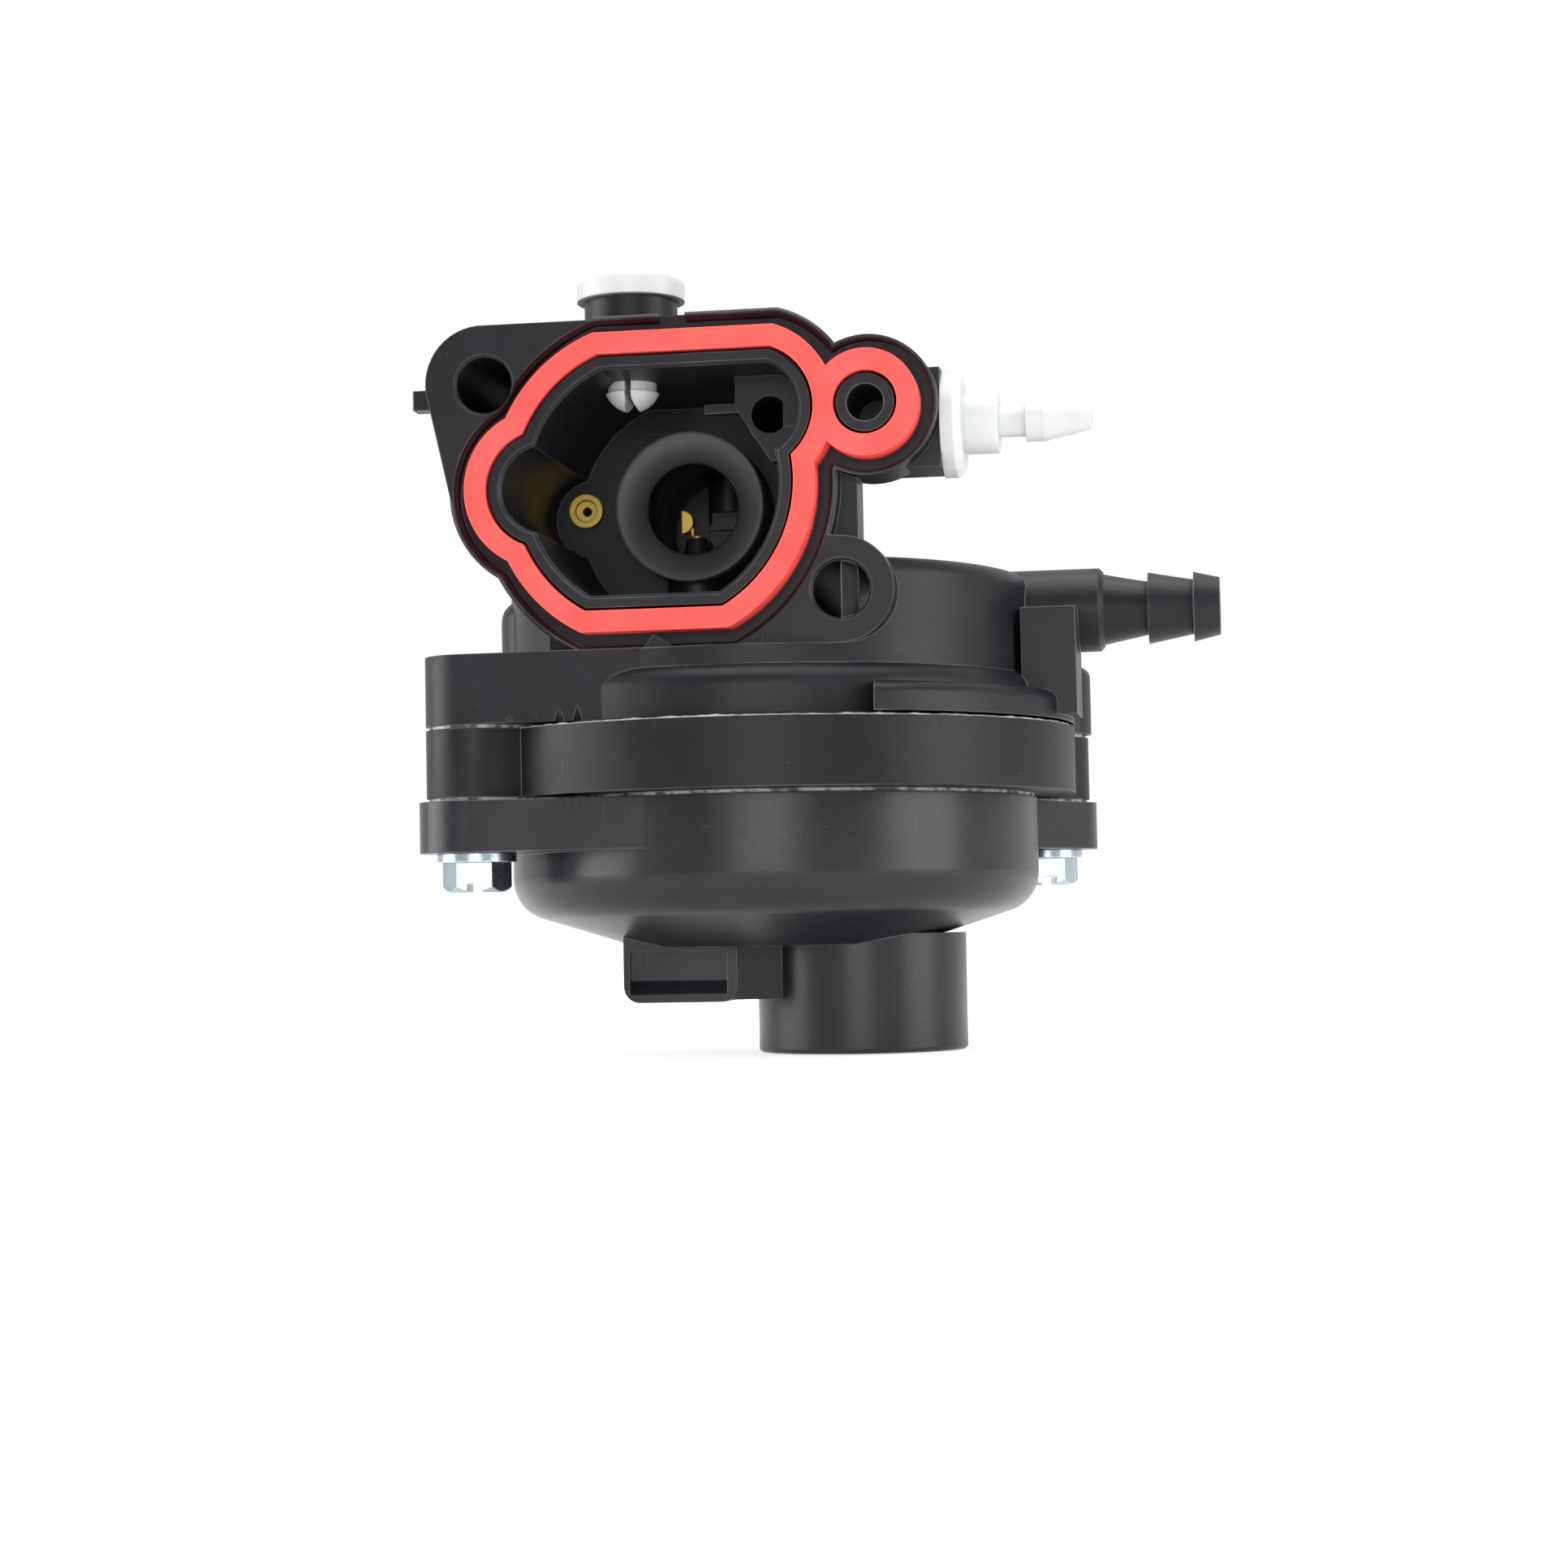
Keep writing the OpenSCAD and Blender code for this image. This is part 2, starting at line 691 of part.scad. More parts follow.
// Emulsion tube with cross holes and a half-round tip in the throat.
module main_nozzle() {
    tip = [well[0] - 1.6, -1.09];
    color("#c8963c") difference() {
        union() {
            rod_z(well, 1.6, -40, -8.2);
            rod_z(well, 0.85, -9, -2.7);
            rod_z([well[0] - 0.5, well[1]], 0.34, -2.8, -1.6);
            along_y(well[1] - 0.9, well[1] + 0.9) intersection() {
                translate(tip) circle(1.3);
                translate([tip[0], tip[1] - 2]) square([2, 4]);
            }
        }
        rod_z(well, 0.5, -41, -2.9);
        for (z = [-38:4:-18])
            translate([0, well[1], z]) rod_x([0, 0], 0.35, -5, 5);
    }
}

module main_jet() {
    color("#c8963c") difference() {
        union() {
            rod_z(well, 2.4, -46, -42);
        }
        rod_z(well, 0.45, -47, -41);
        block([well[0] - 3, well[1] - 0.4, -47], [well[0] + 3, well[1] + 0.4, -45.2]);
    }
}

module idle_jet() {
    color("#c8963c") difference() {
        rod_z(pilot, 1.3, -36, -22);
        rod_z(pilot, 0.5, -37, -21);
    }
}

module throttle_shaft() {
    color("#2c2d2f") difference() {
        union() {
            rod_z([0, shaft_y], shaft_r, -12, lever_z + 4);
            rod_z([0, shaft_y], shaft_r - 0.6, lever_z + 3.9, lever_z + 5);
        }
        block([-4, shaft_y - disc_t / 2, -bore_r - 0.4], [4, shaft_y + disc_t / 2, bore_r + 0.4]);
        block([-4, shaft_y - 4, -2.6], [4, shaft_y - 1.7, 2.6]);
        rod_y([0, 0], 1, shaft_y - 4, shaft_y + 4);
    }
}

module throttle_plate() {
    color("#2c2d2f") difference() {
        rod_y([0, 0], bore_r - 0.08, shaft_y - disc_t / 2, shaft_y + disc_t / 2);
        rod_y([0, 0], 1, shaft_y - 4, shaft_y + 4);
    }
}

module throttle_plate_screw() {
    color("#b8bcc0") difference() {
        union() {
            rod_y([0, 0], 2.1, shaft_y - 2.9, shaft_y - 1.7);
            rod_y([0, 0], 1, shaft_y - 1.8, shaft_y + 2.2);
        }
        block([-3, shaft_y - 3.5, -0.3], [3, shaft_y - 2.4, 0.3]);
    }
}

module throttle_lever() {
    a = [0, shaft_y] + arm_len * turn(170);
    color("#b8bcc0") difference() {
        union() {
            rod_z([0, shaft_y], 4.6, lever_z, lever_z + 4);
            along_z(lever_z + 2.4, lever_z + 4) link([0, shaft_y], 5, a, 3);
            along_z(lever_z + 2.4, lever_z + 4) link([0, shaft_y], 5, [11.2, 42.4], 2.2);
            block([9.2, 40.2, lever_z - 0.8], [13, 41.5, lever_z + 4]);
        }
        rod_z([0, shaft_y], shaft_r + 0.03, lever_z - 1, lever_z + 5);
        rod_z(a, 1.1, lever_z, lever_z + 5);
    }
}

module throttle_shaft_seal() {
    color("#1c1c1c") difference() {
        rod_z([0, shaft_y], 4.4, boss_top, boss_top + 1.1);
        rod_z([0, shaft_y], shaft_r + play, boss_top - 1, boss_top + 2);
    }
}

module coil(r, w, pitch, n) {
    for (i = [0:n - 1])
        translate([0, 0, w / 2 + i * pitch]) rotate_extrude() translate([r, 0]) circle(w / 2);
}

module throttle_return_spring() {
    color("#c9ccd0") {
        translate([0, shaft_y, 11.2]) coil(5.8, 0.8, 0.78, 7);
        rod_x([shaft_y + 5.8, 11.6], 0.4, -7, 0);
        rod_z([0, shaft_y + 5.8], 0.4, 15, lever_z + 1.4);
    }
}

module idle_speed_screw() {
    c = idle_c;
    color("#b8bcc0") difference() {
        union() {
            rod_y(c, 2.5, 15.4, 18);
            rod_y(c, 1.5, 17.9, 38.6);
            cone_y(c, 1.5, 0.9, 38.6, 40.15);
        }
        block([c[0] - 4, 14, c[1] - 0.45], [c[0] + 4, 16.6, c[1] + 0.45]);
    }
}

module idle_screw_spring() {
    color("#c9ccd0") translate([idle_c[0], 22.45, idle_c[1]]) rotate([90, 0, 0])
        coil(2.3, 0.7, 0.68, 6);
}

module bowl_screw(p) {
    z = lug_low - washer_t;
    h = 3.2;
    color("#c3c6c9") difference() {
        union() {
            rod_z(p, screw_d / 2, z - 0.6, -19.6);
            intersection() {
                translate([p[0], p[1], z - h]) rotate([0, 0, 9]) cylinder(d = 6.4 / cos(30), h = h, $fn = 6);
                cone_z(p, 3.1, 7.1, z - h, z + 0.8);
            }
        }
        translate([p[0], p[1], z - h - 1]) rotate([0, 0, 9])
            translate([-0.8, -5, 0]) cube([1.6, 10, 1.95]);
    }
}

module front_bowl_screw() {
    bowl_screw(screws[0]);
}

module rear_bowl_screw() {
    bowl_screw(screws[1]);
}

module washer(p) {
    color("#c3c6c9") difference() {
        rod_z(p, washer_r, lug_low - washer_t, lug_low);
        rod_z(p, screw_d / 2 + 0.1, lug_low - 2, lug_low + 1);
    }
}

module front_screw_washer() {
    washer(screws[0]);
}

module rear_screw_washer() {
    washer(screws[1]);
}

// Ring float on a hinge, hanging down as it does in a dry bowl.
module float() {
    c = [drum_x, drum_y];
    p = [pivot[0], drum_y, pivot[1]];
    color("#d9d2bd") translate(p) rotate([0, -float_drop, 0]) translate(-p) difference() {
        union() {
            difference() {
                rod_z(c, float_r, float_top - float_h, float_top);
                rod_z(c, float_bore, float_top - float_h - 1, float_top + 1);
            }
            block([needle_x - 3, drum_y - 6, float_top - 1], [pivot[0] - 3, drum_y + 6, tab_top]);
            block([pivot[0] - 5, drum_y - 6, float_top - 0.5], [pivot[0], drum_y + 6, tab_top]);
            rod_y([pivot[0], pivot[1]], 1.9, drum_y - 6.2, drum_y + 6.2);
        }
        rod_y([pivot[0], pivot[1]], 1 + play, drum_y - 9, drum_y + 9);
    }
}

module float_pin() {
    color("#b8bcc0") rod_y([pivot[0], pivot[1]], 1, drum_y - 9.6, drum_y + 9.6);
}

module inlet_needle() {
    c = [needle_x, drum_y];
    color("#b8bcc0") {
        translate([c[0], c[1], needle_low + 1.4]) sphere(1.4);
        rod_z(c, 1.4, needle_low + 1.4, seat_face - 1.35);
        cone_z(c, 1.4, 0.3, seat_face - 1.35, seat_face + 0.55);
    }
}

module needle_seat() {
    c = [needle_x, drum_y];
    color("#c8963c") difference() {
        rod_z(c, 2.6, seat_low, seat_face + 1.6);
        rod_z(c, 1.4 + play, seat_low - 1, seat_face);
        rod_z(c, 1.1, seat_face - 1, seat_face + 3);
    }
}

module passage_plug() {
    color("#c8963c") translate([-8.6, shaft_y - 8, 0]) rotate([0, -90, 0]) cylinder(r = 2, h = 1.8);
}

carburetor_body();
float_chamber_ring();
float_bowl();
intake_gasket();
engine_o_ring();
choke_hole_plug();
vent_nipple();
pilot_air_jet();
main_nozzle();
main_jet();
idle_jet();
throttle_shaft();
throttle_lever();
throttle_plate();
throttle_plate_screw();
throttle_shaft_seal();
throttle_return_spring();
idle_speed_screw();
idle_screw_spring();
chamber_gasket();
bowl_gasket();
front_bowl_screw();
rear_bowl_screw();
front_screw_washer();
rear_screw_washer();
float();
float_pin();
inlet_needle();
needle_seat();
passage_plug();
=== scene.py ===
import bpy
import bmesh
import json
import math
from mathutils import Matrix, Vector
from mathutils.noise import turbulence


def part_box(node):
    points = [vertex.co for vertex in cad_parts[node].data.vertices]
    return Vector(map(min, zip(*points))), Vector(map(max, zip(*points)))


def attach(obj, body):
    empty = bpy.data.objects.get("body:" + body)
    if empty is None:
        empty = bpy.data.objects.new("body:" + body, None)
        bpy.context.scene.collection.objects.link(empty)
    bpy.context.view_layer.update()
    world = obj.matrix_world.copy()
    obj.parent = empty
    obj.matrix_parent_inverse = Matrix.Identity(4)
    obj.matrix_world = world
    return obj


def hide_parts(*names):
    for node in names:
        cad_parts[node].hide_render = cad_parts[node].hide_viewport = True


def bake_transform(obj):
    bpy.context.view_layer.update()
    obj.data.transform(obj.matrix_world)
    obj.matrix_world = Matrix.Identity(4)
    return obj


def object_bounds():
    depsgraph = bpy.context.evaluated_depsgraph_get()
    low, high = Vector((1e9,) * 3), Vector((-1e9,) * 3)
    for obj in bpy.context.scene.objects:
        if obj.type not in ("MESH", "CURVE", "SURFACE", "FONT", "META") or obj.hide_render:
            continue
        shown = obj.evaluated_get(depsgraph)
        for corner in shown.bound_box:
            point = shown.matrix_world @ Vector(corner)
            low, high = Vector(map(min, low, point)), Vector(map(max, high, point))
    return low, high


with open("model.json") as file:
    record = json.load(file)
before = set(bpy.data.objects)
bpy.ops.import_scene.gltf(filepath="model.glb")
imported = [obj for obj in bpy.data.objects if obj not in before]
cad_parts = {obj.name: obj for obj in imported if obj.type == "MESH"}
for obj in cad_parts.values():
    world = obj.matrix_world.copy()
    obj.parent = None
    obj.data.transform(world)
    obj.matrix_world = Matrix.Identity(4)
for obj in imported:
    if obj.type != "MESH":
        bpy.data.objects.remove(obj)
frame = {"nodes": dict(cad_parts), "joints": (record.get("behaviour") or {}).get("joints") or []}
cadLow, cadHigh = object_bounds()
nodes = frame["nodes"]
print("frame loaded:", len(nodes), "nodes")

mm = 0.001  # every length below is in millimetres


def newObject(name, data):
    ob = bpy.data.objects.new(name, data)
    bpy.context.collection.objects.link(ob)
    return ob


def meshObject(name, bm, material):
    me = bpy.data.meshes.new(name)
    bm.to_mesh(me)
    bm.free()
    me.materials.append(material)
    return newObject(name, me)


# plain values are set on a node's inputs, and the outputs of other nodes are linked to them
def feed(t, node, values):
    for key, v in values.items():
        if isinstance(v, (int, float, tuple)):
            node.inputs[key].default_value = v
        else:
            t.links.new(v, node.inputs[key])
    return node


def mathNode(t, op, a, b, clamp=False):
    n = feed(t, t.nodes.new("ShaderNodeMath"), {0: a, 1: b})
    n.operation = op
    n.use_clamp = clamp
    return n.outputs[0]


def noise(t, vec, scale, detail, rough=0.5):
    n = t.nodes.new("ShaderNodeTexNoise")
    feed(t, n, {"Vector": vec, "Scale": scale, "Detail": detail, "Roughness": rough})
    return n.outputs["Fac"]


def rangeNode(t, v, a, b, c, d, smooth=False):
    n = t.nodes.new("ShaderNodeMapRange")
    n.interpolation_type = "SMOOTHSTEP" if smooth else "LINEAR"
    feed(t, n, {"Value": v, "From Min": a, "From Max": b, "To Min": c, "To Max": d})
    return n.outputs["Result"]


def mixColour(t, fac, a, b):
    n = t.nodes.new("ShaderNodeMix")
    n.data_type = "RGBA"
    first, second = [k for k, s in enumerate(n.inputs) if s.type == "RGBA"]
    a, b = [(*v, 1) if isinstance(v, tuple) else v for v in (a, b)]
    feed(t, n, {"Factor": fac, first: a, second: b})
    return [s for s in n.outputs if s.type == "RGBA"][0]


# camera, standing a little below and to the right of the bore
camera = {
    "place": (61.04, -303.95, -46.44),
    "forward": (-0.15626, 0.98659, 0.04711),
    "up": (0.02633, -0.04352, 0.99871),
    "lens": 68.27,
    "sensor": 36,
    "near": 10,
    "far": 20000,
}


def makeCamera(c):
    data = bpy.data.cameras.new("studioCamera")
    data.lens = c["lens"]
    data.sensor_width = c["sensor"]
    data.clip_start = c["near"] * mm
    data.clip_end = c["far"] * mm
    ob = newObject("studioCamera", data)
    f = Vector(c["forward"]).normalized()
    r = f.cross(Vector(c["up"])).normalized()
    u = r.cross(f)
    turn = Matrix((r, u, -f)).transposed().to_4x4()
    ob.matrix_world = Matrix.Translation(Vector(c["place"]) * mm) @ turn
    bpy.context.scene.camera = ob


makeCamera(camera)

# floor, world and lamps; the world is bright behind the object and dim in front of it
studio = {
    "floorReach": 6000,
    "floorDrop": 0.1,
    "floorTone": 0.55,
    "floorRough": 0.9,
    "floorGlow": 0.68,
    "worldFront": 0.3,
    "worldBack": 1.0,
    "worldTurn": (-0.35, 0.75),
    "lamps": [
        {"name": "topSoftbox", "at": (50, -50, 550), "aim": (0, 20, -20), "size": 600, "power": 4.5},
        {"name": "leftSoftbox", "at": (-550, -120, 60), "aim": (0, 0, -20), "size": 400, "power": 3.2},
        {"name": "rightSoftbox", "at": (550, -140, 60), "aim": (0, 0, -20), "size": 350, "power": 2.2},
        {"name": "lowFill", "at": (60, -600, -20), "aim": (0, 0, 0), "size": 300, "power": 1.6},
    ],
}


def makeWorld(s):
    world = bpy.data.worlds.new("studioWorld")
    bpy.context.scene.world = world
    world.use_nodes = True
    w = world.node_tree
    way = w.nodes.new("ShaderNodeTexCoord")
    split = feed(w, w.nodes.new("ShaderNodeSeparateXYZ"), {0: way.outputs["Generated"]})
    power = rangeNode(w, split.outputs["Y"], *s["worldTurn"], s["worldFront"], s["worldBack"],
                      smooth=True)
    feed(w, w.nodes["Background"], {"Color": (1, 1, 1, 1), "Strength": power})


def makeFloor(s):
    bm = bmesh.new()
    bmesh.ops.create_grid(bm, x_segments=1, y_segments=1, size=s["floorReach"] * mm)
    bmesh.ops.translate(bm, vec=(0, 0, cadLow.z - s["floorDrop"] * mm), verts=bm.verts)
    m = bpy.data.materials.new("paleFloor")
    m.use_nodes = True
    t = s["floorTone"]
    feed(m.node_tree, m.node_tree.nodes["Principled BSDF"], {
        "Base Color": (t, t, t, 1), "Roughness": s["floorRough"],
        "Emission Color": (1, 1, 1, 1), "Emission Strength": s["floorGlow"]})
    meshObject("studioFloor", bm, m)


def makeLamp(c):
    data = bpy.data.lights.new(c["name"], "AREA")
    data.size = c["size"] * mm
    data.energy = c["power"]
    ob = newObject(c["name"], data)
    at, aim = [Vector(c[k]) * mm for k in ("at", "aim")]
    ob.location = at
    ob.rotation_euler = (aim - at).to_track_quat("-Z", "Y").to_euler()


makeWorld(studio)
bpy.context.scene.view_settings.view_transform = "Standard"
makeFloor(studio)
for lamp in studio["lamps"]:
    makeLamp(lamp)
print("camera and studio ready")


# shared surface effects
def newGroup(name, ins, outs):
    g = bpy.data.node_groups.new(name, "ShaderNodeTree")
    for way, sockets in (("INPUT", ins), ("OUTPUT", outs)):
        for n, kind in sockets.items():
            g.interface.new_socket(n, in_out=way, socket_type="NodeSocket" + kind)
    return g, g.nodes.new("NodeGroupInput"), g.nodes.new("NodeGroupOutput")


def useGroup(t, group, values):
    n = t.nodes.new("ShaderNodeGroup")
    n.node_tree = group
    return feed(t, n, values)


# cloudy and fine variation of a moulded or turned surface
skinBlend = {"cloudShare": 0.75, "grainShare": 0.25, "from": 0.3, "to": 0.7,
             "cloudDetail": 4, "cloudRough": 0.55, "grainDetail": 2}


def makeSkinGroup(c):
    g, i, o = newGroup(
        "surfaceSkin",
        {"Vector": "Vector", "Cloud Scale": "Float", "Grain Scale": "Float",
         "Roughness Low": "Float", "Roughness High": "Float"},
        {"Cloud": "Float", "Roughness": "Float", "Height": "Float"})
    cloud = noise(g, i.outputs["Vector"], i.outputs["Cloud Scale"], c["cloudDetail"], c["cloudRough"])
    grain = noise(g, i.outputs["Vector"], i.outputs["Grain Scale"], c["grainDetail"])
    mixed = mathNode(g, "ADD", mathNode(g, "MULTIPLY", cloud, c["cloudShare"]),
                     mathNode(g, "MULTIPLY", grain, c["grainShare"]))
    rough = rangeNode(g, mixed, c["from"], c["to"],
                      i.outputs["Roughness Low"], i.outputs["Roughness High"])
    feed(g, o, {"Cloud": cloud, "Roughness": rough, "Height": grain})
    return g


# softened edges: a rounded normal, and a mask of where it departs from the flat one, used to paint
# highlights along the edges
edgeSoftening = {"radius": 0.22, "samples": 6}


def makeEdgeGroup(c):
    g, i, o = newGroup("edgeRoundingAndHighlight", {"Gain": "Float"}, {"Mask": "Float", "Normal": "Vector"})
    bevel = feed(g, g.nodes.new("ShaderNodeBevel"), {"Radius": c["radius"] * mm})
    bevel.samples = c["samples"]
    flat = g.nodes.new("ShaderNodeNewGeometry")
    dot = g.nodes.new("ShaderNodeVectorMath")
    dot.operation = "DOT_PRODUCT"
    feed(g, dot, {0: bevel.outputs["Normal"], 1: flat.outputs["Normal"]})
    off = mathNode(g, "SUBTRACT", 1.0, dot.outputs["Value"])
    mask = mathNode(g, "MULTIPLY", off, i.outputs["Gain"], clamp=True)
    feed(g, o, {"Mask": mask, "Normal": bevel.outputs["Normal"]})
    return g


# sparse fine scratches in three directions: each line is a stretch and a turn of one noise
scratches = {"lines": (((60, 2600, 2600), 0.4), ((2600, 90, 2600), -0.3), ((2600, 2600, 120), 0.2)),
             "detail": 2, "softness": 0.06, "strength": 0.22}


def makeScratchGroup(c):
    g, i, o = newGroup("fineScratches", {"Vector": "Vector", "Share": "Float"}, {"Mask": "Float"})
    share = i.outputs["Share"]
    total = None
    for stretch, turned in c["lines"]:
        m = g.nodes.new("ShaderNodeMapping")
        feed(g, m, {"Vector": i.outputs["Vector"], "Scale": stretch, "Rotation": (turned,) * 3})
        line = rangeNode(g, noise(g, m.outputs["Vector"], 1.0, c["detail"]),
                         share, mathNode(g, "ADD", share, c["softness"]), 0, 1)
        total = line if total is None else mathNode(g, "MAXIMUM", total, line)
    feed(g, o, {"Mask": total})
    return g


skinGroup = makeSkinGroup(skinBlend)
edgeGroup = makeEdgeGroup(edgeSoftening)
scratchGroup = makeScratchGroup(scratches)

# what a finish has unless it says otherwise; "rough", "dark", "light" and "edge" are always its own;
# "edge" is the colour of the painted edge highlight and of the scratches
plainFinish = {"cloud": 90, "grain": 2600, "edgeHighlightGain": 4, "split": (0.35, 0.65), "leastEdgeHighlight": 1,
               "edgeHighlightSplit": (0.38, 0.62), "bump": 0.15, "bumpDepth": 0.08, "metal": 0,
               "spec": 0.5, "milkyDepth": 3}


def makeFinish(name, own):
    f = {**plainFinish, **own}
    m = bpy.data.materials.new(name)
    m.use_nodes = True
    t = m.node_tree
    where = t.nodes.new("ShaderNodeTexCoord").outputs["Object"]
    smoothest, roughest = f["rough"]
    skin = useGroup(t, skinGroup, {
        "Vector": where, "Cloud Scale": f["cloud"], "Grain Scale": f["grain"],
        "Roughness Low": smoothest, "Roughness High": roughest})
    edge = useGroup(t, edgeGroup, {"Gain": f["edgeHighlightGain"]})
    cloud = skin.outputs["Cloud"]
    colour = mixColour(t, rangeNode(t, cloud, *f["split"], 0, 1), f["dark"], f["light"])
    if "scratch" in f:
        scratch = useGroup(t, scratchGroup, {"Vector": where, "Share": f["scratch"]})
        marks = mathNode(t, "MULTIPLY", scratch.outputs["Mask"], scratches["strength"])
        colour = mixColour(t, marks, colour, f["edge"])
    # painted highlight along the edges: the edge mask lightens the colour towards "edge", broken up by the
    # cloud
    edgeHighlightPatches = rangeNode(t, cloud, *f["edgeHighlightSplit"], f["leastEdgeHighlight"], 1)
    colour = mixColour(t, mathNode(t, "MULTIPLY", edge.outputs["Mask"], edgeHighlightPatches), colour, f["edge"])
    bump = feed(t, t.nodes.new("ShaderNodeBump"), {
        "Strength": f["bump"], "Distance": f["bumpDepth"] * mm,
        "Height": skin.outputs["Height"], "Normal": edge.outputs["Normal"]})
    p = feed(t, t.nodes["Principled BSDF"], {
        "Base Color": colour, "Roughness": skin.outputs["Roughness"], "Normal": bump.outputs["Normal"],
        "Metallic": f["metal"], "Specular IOR Level": f["spec"]})
    if "milky" in f:
        feed(t, p, {"Subsurface Weight": f["milky"], "Subsurface Scale": 1.0,
                    "Subsurface Radius": (f["milkyDepth"] * mm,) * 3})
    return m


finishes = {
    "bodyNylon": {"dark": (0.0055, 0.0052, 0.0075), "light": (0.0100, 0.0096, 0.0128),
                  "edge": (0.20, 0.20, 0.21), "edgeHighlightGain": 5, "leastEdgeHighlight": 0.1,
                  "rough": (0.36, 0.5), "spec": 0.25, "scratch": 0.75},
    "ringNylon": {"dark": (0.0048, 0.0045, 0.0066), "light": (0.0088, 0.0084, 0.0115),
                  "edge": (0.20, 0.20, 0.21), "edgeHighlightGain": 5, "leastEdgeHighlight": 0.1,
                  "rough": (0.38, 0.52), "spec": 0.22, "scratch": 0.74},
    "bowlNylon": {"dark": (0.0068, 0.0064, 0.0090), "light": (0.0120, 0.0114, 0.0150),
                  "edge": (0.16, 0.16, 0.17), "edgeHighlightGain": 5, "leastEdgeHighlight": 0.1,
                  "rough": (0.27, 0.38), "spec": 0.34, "scratch": 0.74},
    # the bell mouth of the venturi, coloured lighter than the body as painted light
    "lipPaintedLight": {"dark": (0.055, 0.053, 0.059), "light": (0.080, 0.078, 0.085),
                 "edge": (0.12, 0.12, 0.13), "rough": (0.42, 0.55), "spec": 0.4},
    "redRubber": {"dark": (0.86, 0.060, 0.052), "light": (0.98, 0.085, 0.070),
                  "edge": (1.0, 0.16, 0.13), "rough": (0.5, 0.62), "cloud": 160, "spec": 0.35},
    "whiteNylon": {"dark": (0.46, 0.47, 0.48), "light": (0.56, 0.57, 0.58),
                   "edge": (0.66, 0.67, 0.68), "rough": (0.35, 0.5), "milky": 0.12},
    "turnedBrass": {"dark": (0.34, 0.24, 0.05), "light": (0.50, 0.37, 0.09),
                    "edge": (0.7, 0.56, 0.22), "rough": (0.42, 0.56), "metal": 1.0, "grain": 5000},
    # throttle shaft, plate and screw: brass coloured near black, painted shade of the dark throat
    "brassPaintedShade": {"dark": (0.016, 0.014, 0.011), "light": (0.03, 0.026, 0.02),
                  "edge": (0.08, 0.07, 0.05), "rough": (0.4, 0.55), "spec": 0.4, "grain": 5000},
    "zincPlate": {"dark": (0.28, 0.34, 0.38), "light": (0.44, 0.51, 0.56),
                  "edge": (0.7, 0.75, 0.79), "rough": (0.18, 0.32), "metal": 1.0, "grain": 5000},
    "springWire": {"dark": (0.42, 0.42, 0.42), "light": (0.58, 0.58, 0.58),
                   "edge": (0.8, 0.8, 0.8), "rough": (0.22, 0.36), "metal": 1.0, "grain": 5000},
    "blackRubber": {"dark": (0.012, 0.012, 0.012), "light": (0.02, 0.02, 0.02),
                    "edge": (0.03, 0.03, 0.03), "rough": (0.7, 0.85)},
    # seam fins: near black with pale cloudy patches, painted glints along the seams
    "seamFinGlint": {"dark": (0.03, 0.03, 0.032), "light": (0.42, 0.42, 0.44), "edge": (0.5, 0.5, 0.52),
                "rough": (0.3, 0.45), "cloud": 420, "split": (0.4, 0.6), "spec": 0.6},
    # gasket sheets: near black with pale cloudy patches, painted glints along the seams
    "gasketPaintedGlint": {"dark": (0.03, 0.03, 0.03), "light": (0.45, 0.45, 0.46), "edge": (0.5, 0.5, 0.5),
                   "rough": (0.45, 0.7), "cloud": 620, "split": (0.42, 0.56)},
    "floatFoam": {"dark": (0.60, 0.55, 0.42), "light": (0.72, 0.68, 0.56),
                  "edge": (0.8, 0.76, 0.66), "rough": (0.5, 0.7)},
}
made = {name: makeFinish(name, f) for name, f in finishes.items()}

wearing = {
    "bodyNylon": ["carburetor_body"],
    "ringNylon": ["float_chamber_ring"],
    "bowlNylon": ["float_bowl"],
    "redRubber": ["intake_gasket", "engine_o_ring"],
    "whiteNylon": ["choke_hole_plug", "vent_nipple"],
    "turnedBrass": ["pilot_air_jet", "main_nozzle", "main_jet", "idle_jet",
                    "needle_seat", "passage_plug"],
    "brassPaintedShade": ["throttle_shaft", "throttle_plate", "throttle_plate_screw"],
    "zincPlate": ["throttle_lever", "idle_speed_screw",
                  "front_bowl_screw", "rear_bowl_screw", "front_screw_washer",
                  "rear_screw_washer", "float_pin", "inlet_needle"],
    "springWire": ["throttle_return_spring", "idle_screw_spring"],
    "blackRubber": ["throttle_shaft_seal"],
    "gasketPaintedGlint": ["chamber_gasket", "bowl_gasket"],
    "floatFoam": ["float"],
}
for finish, names in wearing.items():
    for n in names:
        me = nodes[n].data
        if me.materials:
            for k in range(len(me.materials)):
                me.materials[k] = made[finish]
        else:
            me.materials.append(made[finish])
print("finishes on", sum(len(v) for v in wearing.values()), "nodes")


# a mesh finished in place: one object at the origin with one material
def place(name, bm, finish, move=None):
    if move is not None:
        bmesh.ops.transform(bm, matrix=move, verts=bm.verts)
    bmesh.ops.recalc_face_normals(bm, faces=bm.faces)
    ob = meshObject(name, bm, made[finish])
    for f in ob.data.polygons:
        f.use_smooth = True
    return ob


def jointPlace(name):
    return Vector(next(j["pos_m"] for j in frame["joints"] if j["name"] == name))


def loopTail(bm, edges, way):
    out = bmesh.ops.extrude_edge_only(bm, edges=edges)["geom"]
    bmesh.ops.translate(bm, vec=way, verts=[v for v in out if isinstance(v, bmesh.types.BMVert)])


# a wire wound round +Z from the origin, with straight tangent legs
wireRound = {"sides": 12, "stepsPerTurn": 30, "tail": 0.8, "tailLift": 0.1}


